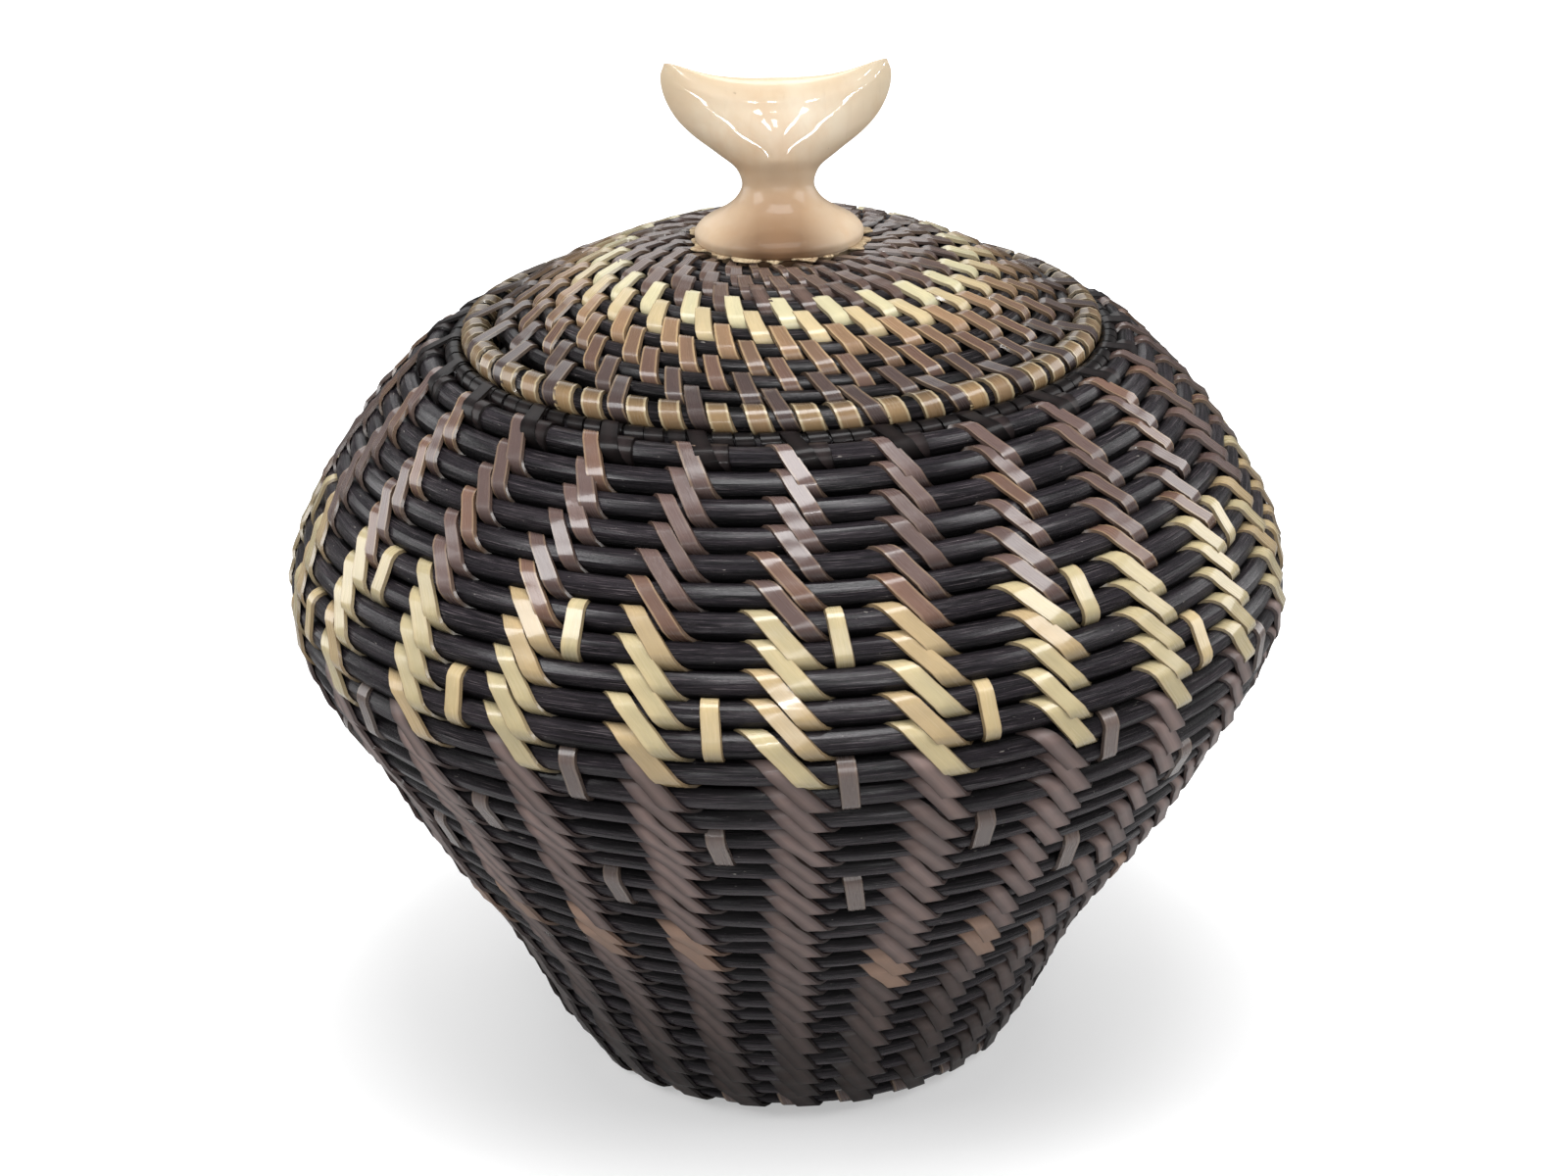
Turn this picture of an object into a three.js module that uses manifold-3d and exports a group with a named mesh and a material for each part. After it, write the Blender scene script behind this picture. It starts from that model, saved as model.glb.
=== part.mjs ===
// A lidded basket coiled from rods of baleen and bound with flat strips of baleen, with a whale's tail
// carved in bone on its lid. Millimetres, +Z up. The origin is on the floor under the middle of the foot,
// and the tail's broad side faces -Y.

import * as THREE from "three";
import { mergeVertices } from "three/addons/utils/BufferGeometryUtils.js";
import Module from "manifold-3d";

const wasm = await Module();
wasm.setup();

// Clearances
const seatGap = 0.3; // between two pieces that touch
const courseGap = 0.5; // between one turn of a rod and the next
const spliceGap = 0.4; // between two lengths of rod, end to end
const cutOverrun = 1; // how far a cutter passes the face that it cuts

// Basket: the middle line of its rods
const wallRodWidth = 2.7;
const footRadius = 23.5; // the outermost flat turn of the base, which the basket stands on
const bellyRadius = 59.5; // the widest turn
const bellyHeight = 62;
const mouthRadius = 39.6; // the hoop round the mouth
const mouthHeight = 92.6;
const baseDiscRadius = 9;
const baseKick = 1.2; // how far the middle of the base rises above its flat turn
const footTurnReach = 1.6; // from the flat turn out to where the wall's lean, carried down, meets the base
const flatFootWidth = 4.2; // how much of the base stays level inside the foot's turn
const wallRodCount = 3; // lengths of rod spliced end to end

// Places along the wall, as shares of the way out and up from foot to belly, and from belly to mouth
const lowerWallShares = [
  [0.153, 0.127],
  [0.352, 0.343],
  [0.487, 0.453],
  [0.663, 0.602],
  [0.817, 0.759],
  [0.936, 0.871],
  [1, 1],
];
const upperWallShares = [
  [0.051, 0.176],
  [0.168, 0.346],
  [0.433, 0.622],
  [0.769, 0.853],
  [1, 1],
];

// Lid: the middle line of its rods
const lidRodWidth = 2;
const hoopWidth = 2.8; // the thicker rods round the lid and the mouth
const lidHoopInset = 2.9; // how far inside the mouth hoop the lid's hoop runs
const lidHoopRise = 1.2; // and how far above it
const lidRise = 9.2; // from the lid's hoop up to the first turn of its dome
const lidHoopRadius = mouthRadius - lidHoopInset;
const lidHoopHeight = mouthHeight + lidHoopRise;
const lidCrownHeight = lidHoopHeight + lidRise;
const lidDiscRadius = 9.2;
const domeShares = [
  [0.32, 0.11],
  [0.65, 0.49],
  [0.88, 0.86],
  [1, 1],
];
const flangeFit = 0.5; // play between the flange and the mouth
const flangeHeight = 8.1;

// Strips
const columnCount = 24;
const stripWidth = 3.3; // along the rods
const lidStripWidth = 2.2;
const stripThickness = 0.45;
const stripLeanShare = 0.3; // of the room between two columns, over two rods
const stripReachShare = 0.5; // of a rod's width, past its middle, at the ends of a stitch

// Starter discs
const discThickness = 1.9;
const laceHoleCount = 8;
const laceHoleRadius = 0.55;
const laceHoleInset = 1.6; // from the disc's edge

// Whale's tail
const tailHeight = 21.55; // from the underside of its foot to the tips
const tailSpan = 27.3;
const tailDepth = 6.6;
const tailFootRadius = 10;
const neckRadius = 4.25;
const pegRadius = 2;
const pegLength = 4;
const collarRodWidth = 1.5;

// Facets
const turnSteps = columnCount; // a rod bends half way between two columns, so each strip lies on a flat
const collarSteps = turnSteps / 2;
const hoopSides = 6;
const discSides = 24;
const tailSides = 12;
const laceHoleSides = 6;

// Colours
const baleen = new THREE.MeshStandardMaterial({ color: 0x2b2a2d, roughness: 0.45, metalness: 0 });
const darkStrip = new THREE.MeshStandardMaterial({ color: 0x5d514e, roughness: 0.4, metalness: 0 });
const paleStrip = new THREE.MeshStandardMaterial({ color: 0xd8cda0, roughness: 0.4, metalness: 0 });
const bone = new THREE.MeshStandardMaterial({ color: 0xe8d6b8, roughness: 0.25, metalness: 0 });

const basket = new THREE.Group();
const lid = new THREE.Group();

function addPiece(group, name, geometry, material) {
  const mesh = new THREE.Mesh(geometry, material);
  mesh.name = name;
  group.add(mesh);
  return mesh;
}

// Solids

// A closed body from rings of points with flat ends, its faces turned outwards.
function loftRings(rings) {
  const sides = rings[0].length;
  const triangles = [];
  for (let i = 0; i + 1 < rings.length; i++) {
    for (let k = 0; k < sides; k++) {
      const next = (k + 1) % sides;
      triangles.push([rings[i][k], rings[i + 1][k], rings[i][next]]);
      triangles.push([rings[i][next], rings[i + 1][k], rings[i + 1][next]]);
    }
  }
  const first = rings[0];
  const last = rings[rings.length - 1];
  for (let k = 1; k + 1 < sides; k++) {
    triangles.push([first[0], first[k], first[k + 1]]);
    triangles.push([last[0], last[k + 1], last[k]]);
  }
  const cross = new THREE.Vector3();
  let volume = 0;
  for (const [a, b, c] of triangles) volume += cross.crossVectors(b, c).dot(a);
  const positions = [];
  for (const [a, b, c] of triangles) {
    const corners = volume > 0 ? [a, b, c] : [a, c, b];
    for (const corner of corners) positions.push(corner.x, corner.y, corner.z);
  }
  const geometry = new THREE.BufferGeometry();
  geometry.setAttribute("position", new THREE.Float32BufferAttribute(positions, 3));
  geometry.computeVertexNormals();
  return geometry;
}

function toSolid(geometry) {
  const bare = geometry.clone();
  bare.deleteAttribute("normal");
  bare.deleteAttribute("uv");
  const merged = mergeVertices(bare);
  return new wasm.Manifold(
    new wasm.Mesh({
      numProp: 3,
      vertProperties: merged.attributes.position.array,
      triVerts: new Uint32Array(merged.index.array),
    }),
  );
}

function toGeometry(solid) {
  const mesh = solid.getMesh();
  const geometry = new THREE.BufferGeometry();
  geometry.setAttribute("position", new THREE.BufferAttribute(mesh.vertProperties, 3));
  geometry.setIndex(new THREE.BufferAttribute(mesh.triVerts, 1));
  geometry.computeVertexNormals();
  return geometry;
}

// A solid of revolution round Z from points [radius, height].
function revolve(profile, sides) {
  const points = profile.map(([radius, height]) => new THREE.Vector2(radius, height));
  return new THREE.LatheGeometry(points, sides).rotateX(Math.PI / 2);
}

// Middle lines: where a rod runs, as paths of (radius, height)

function placedPoints(shares, fromRadius, fromHeight, toRadius, toHeight) {
  return shares.map(
    ([outShare, upShare]) =>
      new THREE.Vector2(
        fromRadius + outShare * (toRadius - fromRadius),
        fromHeight + upShare * (toHeight - fromHeight),
      ),
  );
}

// A rod's section as shares of its width, with a narrower flat outwards for the strips to lie on.
const sectionShares = [
  { along: -0.3, out: 0.46 },
  { along: 0.3, out: 0.46 },
  { along: 0.44, out: -0.36 },
  { along: -0.44, out: -0.36 },
];
const outerFaceShare = sectionShares[0].out;

const floorHeight = 0; // no rod passes below it: the foot's turn is worn flat there
const footHeight = floorHeight + outerFaceShare * wallRodWidth;

function basketPath() {
  const lower = placedPoints(lowerWallShares, footRadius, 0, bellyRadius, bellyHeight);
  const upper = placedPoints(upperWallShares, bellyRadius, bellyHeight, mouthRadius, mouthHeight);
  const flatStart = footRadius - flatFootWidth;
  const kickMiddle = (baseDiscRadius + flatStart) / 2;
  const [turnEnd, ...rest] = lower;
  const path = new THREE.Path();
  path.moveTo(baseDiscRadius, footHeight + baseKick);
  path.quadraticCurveTo(kickMiddle, footHeight, flatStart, footHeight);
  path.lineTo(footRadius, footHeight);
  path.quadraticCurveTo(footRadius + footTurnReach, footHeight, turnEnd.x, turnEnd.y);
  path.splineThru([...rest, ...upper]);
  return path;
}

function lidPath() {
  const dome = placedPoints(domeShares, lidDiscRadius, lidCrownHeight, lidHoopRadius, lidHoopHeight);
  const path = new THREE.Path();
  path.moveTo(lidDiscRadius, lidCrownHeight);
  path.splineThru(dome);
  return path;
}

function flangePath() {
  const radius = mouthRadius - hoopWidth / 2 - flangeFit - outerFaceShare * lidRodWidth;
  const top = lidHoopHeight - hoopWidth / 2;
  const path = new THREE.Path();
  path.moveTo(radius, top);
  path.lineTo(radius, top - flangeHeight);
  return path;
}

// Turns of rod

const tipShare = 0.3; // of its width, at a rod's shaved end
const lastShare = 0.9998; // of a path's length, the last place that has a direction

// How a rod winds along a path. The first turn swells from a shaved tip, and the last one shrinks to a
// tip again under the hoop that ends the path. outSign turns the outer side of the path to the outside.
function windRod(path, width, endHoopWidth, outSign) {
  const length = path.getLength();
  const tip = tipShare * width;
  const firstOffset = seatGap + tip + courseGap + width / 2;
  const tipOffset = length - endHoopWidth / 2 - courseGap - tip / 2;
  const lastOffset = tipOffset - tip / 2 - courseGap - width / 2;
  const fullTurns = Math.max(1, Math.floor((lastOffset - firstOffset) / (width + courseGap)));
  const pitch = (lastOffset - firstOffset) / fullTurns;
  const turns = fullTurns + 2;
  const { lerp } = THREE.MathUtils;

  function offsetAt(turn) {
    if (turn < 1) return lerp(seatGap + tip / 2, firstOffset, turn);
    if (turn > turns - 1) return lerp(lastOffset, tipOffset, turn - turns + 1);
    return firstOffset + (turn - 1) * pitch;
  }
  function widthAt(turn) {
    const share = Math.min(turn, turns - turn, 1);
    return lerp(tip, width, share);
  }
  function placeAt(offset) {
    const share = Math.min(offset / length, lastShare);
    const point = path.getPoint(share);
    const tangent = path.getTangent(share);
    return {
      point,
      along: tangent,
      out: new THREE.Vector2(tangent.y, -tangent.x).multiplyScalar(outSign),
    };
  }
  return { width, length, pitch, turns, offsetAt, widthAt, placeAt };
}

// Rods bend half way between columns, and every winding starts at the back.
const startAngle = Math.PI / 2 + Math.PI / turnSteps;
const facetShrink = Math.cos(Math.PI / turnSteps); // from a bend's radius to the flat between two bends

function pointAt(angle, radius, height) {
  return new THREE.Vector3(radius * Math.cos(angle), radius * Math.sin(angle), height);
}

function rodRing(winding, turn) {
  const { point, along, out } = winding.placeAt(winding.offsetAt(turn));
  const width = winding.widthAt(turn);
  const angle = startAngle + turn * 2 * Math.PI;
  return sectionShares.map((corner) => {
    const radius = point.x + width * (corner.along * along.x + corner.out * out.x);
    const height = point.y + width * (corner.along * along.y + corner.out * out.y);
    return pointAt(angle, radius, Math.max(floorHeight, height));
  });
}

function leastGapBetweenTurns(rings, steps) {
  let least = Infinity;
  for (let i = 0; i + steps < rings.length; i++) {
    for (const near of rings[i]) {
      for (const far of rings[i + steps]) least = Math.min(least, near.distanceTo(far));
    }
  }
  return least;
}

// One length of rod, from one turn to another, as an unbroken tube with square ends.
function rodLength(name, winding, fromTurn, toTurn) {
  const turnOfGap = (turn) => spliceGap / 2 / (2 * Math.PI * winding.placeAt(winding.offsetAt(turn)).point.x);
  const turns = [fromTurn + turnOfGap(fromTurn)];
  const firstStep = fromTurn * turnSteps + 1;
  for (let step = firstStep; step < toTurn * turnSteps; step++) turns.push(step / turnSteps);
  turns.push(toTurn - turnOfGap(toTurn));
  const rings = turns.map((turn) => rodRing(winding, turn));
  const least = leastGapBetweenTurns(rings.slice(1, -1), turnSteps);
  console.log(name + ": least gap between its turns " + least.toFixed(2) + " mm");
  return loftRings(rings);
}

// A level hoop of rod, bent round until its two ends meet.
function hoop(radius, height, width, sides, steps) {
  const halfGap = spliceGap / 2 / radius;
  const rings = [];
  for (let step = 0; step <= steps; step++) {
    const angle = startAngle + THREE.MathUtils.lerp(halfGap, 2 * Math.PI - halfGap, step / steps);
    const ring = [];
    for (let k = 0; k < sides; k++) {
      const turn = ((k + 1 / 2) * 2 * Math.PI) / sides;
      const out = (width / 2) * Math.cos(turn);
      ring.push(pointAt(angle, radius + out, height + (width / 2) * Math.sin(turn)));
    }
    rings.push(ring);
  }
  return loftRings(rings);
}

// Strips

// How far the rods stand out past a straight line from one place on their path to another.
function bulgeBetween(winding, from, to) {
  const middle = winding.placeAt((from + to) / 2);
  const chord = winding.placeAt(from).point.clone().lerp(winding.placeAt(to).point, 1 / 2);
  return Math.max(0, middle.point.clone().sub(chord).dot(middle.out));
}

// One column of stitches, each leaning over two rods, joined into one strip. It lies on the flats of
// the rods, and leanSign says which way it leans as the path goes on.
function bindingColumn(winding, columnAngle, width, firstOffset, lastOffset, leanSign) {
  const share = THREE.MathUtils.euclideanModulo((columnAngle - startAngle) / (2 * Math.PI), 1);
  const rows = [];
  for (let turn = share; turn < winding.turns; turn++) {
    rows.push({ offset: winding.offsetAt(turn), reach: stripReachShare * winding.widthAt(turn) });
  }
  const bound = rows.filter(({ offset }) => offset > firstOffset && offset < lastOffset);
  bound.push({ offset: lastOffset, reach: 0 });
  const seat = outerFaceShare * winding.width + seatGap;
  const leanAngle = (stripLeanShare * Math.PI) / columnCount;
  const rings = [];
  const addRing = (offset, inner, lean) => {
    const { point, out } = winding.placeAt(offset);
    const sideways = lean * leanSign * Math.tan(leanAngle) * point.x;
    const corner = (side, depth) => {
      const radius = (point.x + depth * out.x) * facetShrink;
      const place = pointAt(columnAngle, radius, point.y + depth * out.y);
      const shift = sideways + (side * width) / 2;
      place.x -= shift * Math.sin(columnAngle);
      place.y += shift * Math.cos(columnAngle);
      return place;
    };
    const outer = inner + stripThickness;
    rings.push([corner(-1, inner), corner(1, inner), corner(1, outer), corner(-1, outer)]);
  };
  for (let i = bound.length % 2; i < bound.length; i += 2) {
    const overHoop = i + 2 === bound.length;
    const from = bound[i].offset - bound[i].reach;
    const to = bound[i + 1].offset + bound[i + 1].reach;
    const inner = seat + bulgeBetween(winding, from, to);
    addRing(from, inner, -1);
    addRing(to, overHoop ? Math.max(inner, hoopWidth / 2 + seatGap) : inner, 1);
  }
  return loftRings(rings);
}

// Discs and the tail

function starterDisc(radius, middleHeight, holeRadius) {
  const half = discThickness / 2;
  const profile = [
    [holeRadius, middleHeight - half],
    [radius, middleHeight - half],
    [radius, middleHeight + half],
    [holeRadius, middleHeight + half],
  ];
  if (holeRadius > 0) profile.push(profile[0]);
  let disc = toSolid(revolve(profile, discSides));
  for (let k = 0; k < laceHoleCount; k++) {
    const cutter = new THREE.CylinderGeometry(
      laceHoleRadius,
      laceHoleRadius,
      discThickness + 2 * cutOverrun,
      laceHoleSides,
    );
    cutter.rotateX(Math.PI / 2);
    const place = pointAt((k * 2 * Math.PI) / laceHoleCount, radius - laceHoleInset, middleHeight);
    cutter.translate(place.x, place.y, place.z);
    disc = disc.subtract(toSolid(cutter));
  }
  return toGeometry(disc);
}

// The flukes' upper and lower edges as shares of the tail's height, at shares of half its span, with
// the depth there as a share of the depth in the middle.
const flukeShares = [
  { side: 0.06, upper: 0.9, lower: 0.33, depth: 1 },
  { side: 0.22, upper: 0.905, lower: 0.36, depth: 0.94 },
  { side: 0.42, upper: 0.92, lower: 0.46, depth: 0.76 },
  { side: 0.62, upper: 0.943, lower: 0.545, depth: 0.54 },
  { side: 0.8, upper: 0.974, lower: 0.635, depth: 0.36 },
  { side: 0.93, upper: 1, lower: 0.745, depth: 0.24 },
  { side: 1, upper: 0.934, lower: 0.85, depth: 0.12 },
];

// Foot, waist and neck of the tail as shares of the foot's radius and of the tail's height.
const tailFootShares = [
  [0.94, 0],
  [1, 0.03],
  [0.96, 0.114],
  [0.8, 0.18],
  [0.52, 0.239],
];
const neckShares = [0.285, 0.36, 0.45];

function whaleTail(bottom) {
  const halfSpan = tailSpan / 2;
  const mirrored = flukeShares.map((row) => ({ ...row, side: -row.side })).reverse();
  const rings = [...mirrored, ...flukeShares].map(({ side, upper, lower, depth }) => {
    const middle = bottom + ((upper + lower) / 2) * tailHeight;
    const halfHeight = ((upper - lower) / 2) * tailHeight;
    const halfDepth = (depth * tailDepth) / 2;
    const ring = [];
    for (let k = 0; k < tailSides; k++) {
      const turn = (k * 2 * Math.PI) / tailSides;
      const back = halfDepth * Math.cos(turn);
      ring.push(new THREE.Vector3(side * halfSpan, back, middle + halfHeight * Math.sin(turn)));
    }
    return ring;
  });
  const profile = [
    [0, bottom - pegLength],
    [pegRadius, bottom - pegLength],
    [pegRadius, bottom],
    ...tailFootShares.map(([out, up]) => [out * tailFootRadius, bottom + up * tailHeight]),
    [neckRadius, bottom + neckShares[0] * tailHeight],
    [neckRadius, bottom + neckShares[1] * tailHeight],
    [0, bottom + neckShares[2] * tailHeight],
  ];
  const body = toSolid(revolve(profile, tailSides));
  return toGeometry(body.add(toSolid(loftRings(rings))));
}

// The basket

const wall = windRod(basketPath(), wallRodWidth, hoopWidth, 1);
const wallStart = basketPath().curves.slice(0, 2).reduce((sum, curve) => sum + curve.getLength(), 0);
const baseTurns = Math.round((wallStart - wall.offsetAt(1)) / wall.pitch) + 1;
const rodTurns = (wall.turns - baseTurns) / wallRodCount;
const lowerEnd = baseTurns + Math.round(rodTurns);
const bellyEnd = baseTurns + Math.round(2 * rodTurns);

addPiece(basket, "base_starter_disc", starterDisc(baseDiscRadius, footHeight + baseKick, 0), bone);
addPiece(basket, "base_rod", rodLength("base_rod", wall, 0, baseTurns), baleen);
addPiece(basket, "lower_wall_rod", rodLength("lower_wall_rod", wall, baseTurns, lowerEnd), baleen);
addPiece(basket, "belly_rod", rodLength("belly_rod", wall, lowerEnd, bellyEnd), baleen);
addPiece(basket, "shoulder_rod", rodLength("shoulder_rod", wall, bellyEnd, wall.turns), baleen);
addPiece(basket, "mouth_hoop", hoop(mouthRadius, mouthHeight, hoopWidth, hoopSides, turnSteps), baleen);

// The lid

const dome = windRod(lidPath(), lidRodWidth, hoopWidth, -1);
const flange = windRod(flangePath(), lidRodWidth, 0, -1);
const tailBottom = lidCrownHeight + discThickness / 2 + seatGap;
const collarRadius = tailFootRadius + seatGap + collarRodWidth / 2;
const collarHeight = tailBottom + collarRodWidth / 2;

addPiece(lid, "lid_rod", rodLength("lid_rod", dome, 0, dome.turns), baleen);
addPiece(lid, "lid_hoop", hoop(lidHoopRadius, lidHoopHeight, hoopWidth, hoopSides, turnSteps), baleen);
addPiece(lid, "lid_flange_rod", rodLength("lid_flange_rod", flange, 0, flange.turns), baleen);
addPiece(lid, "lid_starter_disc", starterDisc(lidDiscRadius, lidCrownHeight, pegRadius + seatGap), bone);
addPiece(lid, "whale_tail", whaleTail(tailBottom), bone);
addPiece(lid, "tail_collar", hoop(collarRadius, collarHeight, collarRodWidth, hoopSides, collarSteps), paleStrip);

// The strips

const firstWallOffset = wall.offsetAt(baseTurns + 1);
const firstLidOffset = collarRadius + collarRodWidth + lidRodWidth / 2 - lidDiscRadius;

for (let column = 0; column < columnCount; column++) {
  const angle = (column * 2 * Math.PI) / columnCount - Math.PI / 2;
  const number = String(column + 1).padStart(2, "0");
  const wallStrip = bindingColumn(wall, angle, stripWidth, firstWallOffset, wall.length, -1);
  const lidStrip = bindingColumn(dome, angle, lidStripWidth, firstLidOffset, dome.length, 1);
  addPiece(basket, "wall_binding_" + number, wallStrip, darkStrip);
  addPiece(lid, "lid_binding_" + number, lidStrip, darkStrip);
}

const part = new THREE.Group();
part.add(basket, lid);

export default part;
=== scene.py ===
"""A lidded basket coiled from baleen rods and bound with flat baleen strips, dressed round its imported
CAD model.

Metres in Blender, millimetres in the sums here, +Z up. The viewer stands at -Y.
"""

import math

import bpy
import numpy as np
from mathutils import Matrix, Vector


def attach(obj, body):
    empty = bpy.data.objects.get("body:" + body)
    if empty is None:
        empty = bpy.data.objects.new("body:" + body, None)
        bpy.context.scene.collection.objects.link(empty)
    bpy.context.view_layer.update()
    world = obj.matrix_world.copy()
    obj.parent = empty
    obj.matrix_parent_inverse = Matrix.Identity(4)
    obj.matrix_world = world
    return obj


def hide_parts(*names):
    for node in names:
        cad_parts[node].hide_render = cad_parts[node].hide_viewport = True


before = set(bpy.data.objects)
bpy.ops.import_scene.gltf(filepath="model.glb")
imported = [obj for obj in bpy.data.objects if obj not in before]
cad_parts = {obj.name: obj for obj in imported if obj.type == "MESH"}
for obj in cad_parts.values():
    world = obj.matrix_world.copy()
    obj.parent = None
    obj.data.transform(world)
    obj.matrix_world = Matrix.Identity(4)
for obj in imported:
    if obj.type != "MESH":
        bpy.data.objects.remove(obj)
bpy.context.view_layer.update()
rng = np.random.default_rng(11)

MM = 0.001
TURN = 2 * math.pi

# Sizes that the CAD model has too, in millimetres
SEAT_GAP = 0.3
COURSE_GAP = 0.5
SPLICE_GAP = 0.4
TIP_SHARE = 0.3
FLAT_SHARE = 0.46
WALL_ROD = 2.7
WALL_FLAT = FLAT_SHARE * WALL_ROD
FOOT_RADIUS = 23.5
BELLY = (59.5, 62.0)
MOUTH = (39.6, 92.6)
BASE_DISC = 9.0
BASE_KICK = 1.2
FOOT_TURN = 1.6
FLAT_FOOT = 4.2
LOWER_WALL = [(0.153, 0.127), (0.352, 0.343), (0.487, 0.453), (0.663, 0.602), (0.817, 0.759)]
LOWER_WALL += [(0.936, 0.871), (1, 1)]
UPPER_WALL = [(0.051, 0.176), (0.168, 0.346), (0.433, 0.622), (0.769, 0.853), (1, 1)]
LID_ROD = 2.0
HOOP_ROD = 2.8
LID_HOOP = (36.7, 93.8)
LID_CROWN = 103.0
LID_DISC = 9.2
DOME = [(0.32, 0.11), (0.65, 0.49), (0.88, 0.86), (1, 1)]
FLANGE_FIT = 0.5
FLANGE_HEIGHT = 8.1
DISC_THICKNESS = 1.9
TAIL_BOTTOM = LID_CROWN + DISC_THICKNESS / 2 + SEAT_GAP
COLUMNS = 24
START = math.pi / 2 + math.pi / COLUMNS
FRONT = -math.pi / 2

# Sizes that only the scene has, in millimetres
WALL_BULK = 1.6  # half the thickness of the wall's rod
LID_BULK = 1.17
CONTACT = 0.03  # how far touching rods press together
MOST_SWELL = 0.13
BASE_LIFT = 0.79  # room for the strips between the base and the table
BASE_END = 13.2  # distance along the line where the base's lift begins to fade
MOUTH_HOOP = (MOUTH[0] - 0.25, MOUTH[1] - 0.65)
MOUTH_HOOP_BULK = 0.7 * HOOP_ROD / 2
LID_HOOP_DROP = 0.1
LID_HOOP_BULK = HOOP_ROD / 2 + 0.14

# How finely things are cut up
SPAN = np.linspace(0, 1, 60, endpoint=False)[:, None]  # places along one span of a line
FIT_STEPS = 96  # places to a turn where neighbouring turns are compared
FIT_AVERAGE = 9  # places that are averaged there
DRIFT_WAVES = 9
ROD_SIDES = 16
ROD_STEPS = 96  # rings to a turn


# Where the rods run


def spread(shares, start, end):
    """Points at shares of the way from start to end, out and up."""
    return [(start[0] + a * (end[0] - start[0]), start[1] + b * (end[1] - start[1])) for a, b in shares]


def bend(start, control, end):
    """A parabola's arc: (1-t)^2 start + 2t(1-t) control + t^2 end."""
    start, control, end = (np.array(p, float) for p in (start, control, end))
    return (1 - SPAN) ** 2 * start + 2 * SPAN * (1 - SPAN) * control + SPAN**2 * end


def through(knots):
    """A smooth line through the knots: between two knots a cubic whose slope at each is half the step
    between that knot's neighbours."""
    knots = np.array(knots, float)
    t = SPAN
    spans = []
    for i in range(len(knots) - 1):
        a, b = knots[i], knots[i + 1]
        leave = (b - knots[max(i - 1, 0)]) / 2
        arrive = (knots[min(i + 2, len(knots) - 1)] - a) / 2
        cubed = 2 * a - 2 * b + leave + arrive
        squared = 3 * b - 3 * a - 2 * leave - arrive
        spans.append(cubed * t**3 + squared * t**2 + leave * t + a)
    return np.vstack(spans + [knots[-1:]])


def ease(value, low, high):
    """0 below low, 1 above high and a smooth step between: 3s^2 - 2s^3."""
    share = np.clip((value - low) / (high - low), 0, 1)
    return share * share * (3 - 2 * share)


class Drift:
    """Smooth unevenness along a coil: a sum of sine waves, with a few to many waves to a turn."""

    def __init__(self, size, fewest=0.7, most=9.0):
        self.waves = rng.uniform(fewest, most, DRIFT_WAVES)
        self.phases = rng.uniform(0, TURN, DRIFT_WAVES)
        self.size = size * math.sqrt(2 / DRIFT_WAVES)

    def at(self, turn):
        return self.size * np.sin(TURN * self.waves * turn[..., None] + self.phases).sum(-1)


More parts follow.
